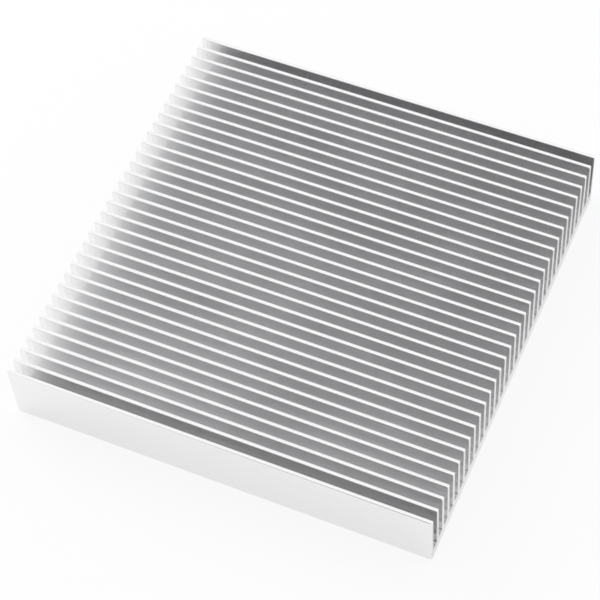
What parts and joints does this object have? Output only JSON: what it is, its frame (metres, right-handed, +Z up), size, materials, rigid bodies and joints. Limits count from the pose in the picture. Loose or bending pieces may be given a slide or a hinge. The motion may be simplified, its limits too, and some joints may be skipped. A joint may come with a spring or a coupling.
{
  "type": "extruded heat sink",
  "caption": "Square, flat aluminium heat sink: a base plate with close, straight, slightly tapered fins across it, extruded in one piece and sawn to length.",
  "frame": {"origin": "centre of the flat underside of the base plate", "axes": "+X along the fins and the extrusion, +Y across the fins, +Z up from the underside to the fin tips"},
  "size_m": [0.12, 0.1232, 0.02],
  "materials": {
    "aluminium": "bright mill finish"
  },
  "bodies": {
    "root": {"heat_sink": "aluminium"}
  },
  "joints": []
}
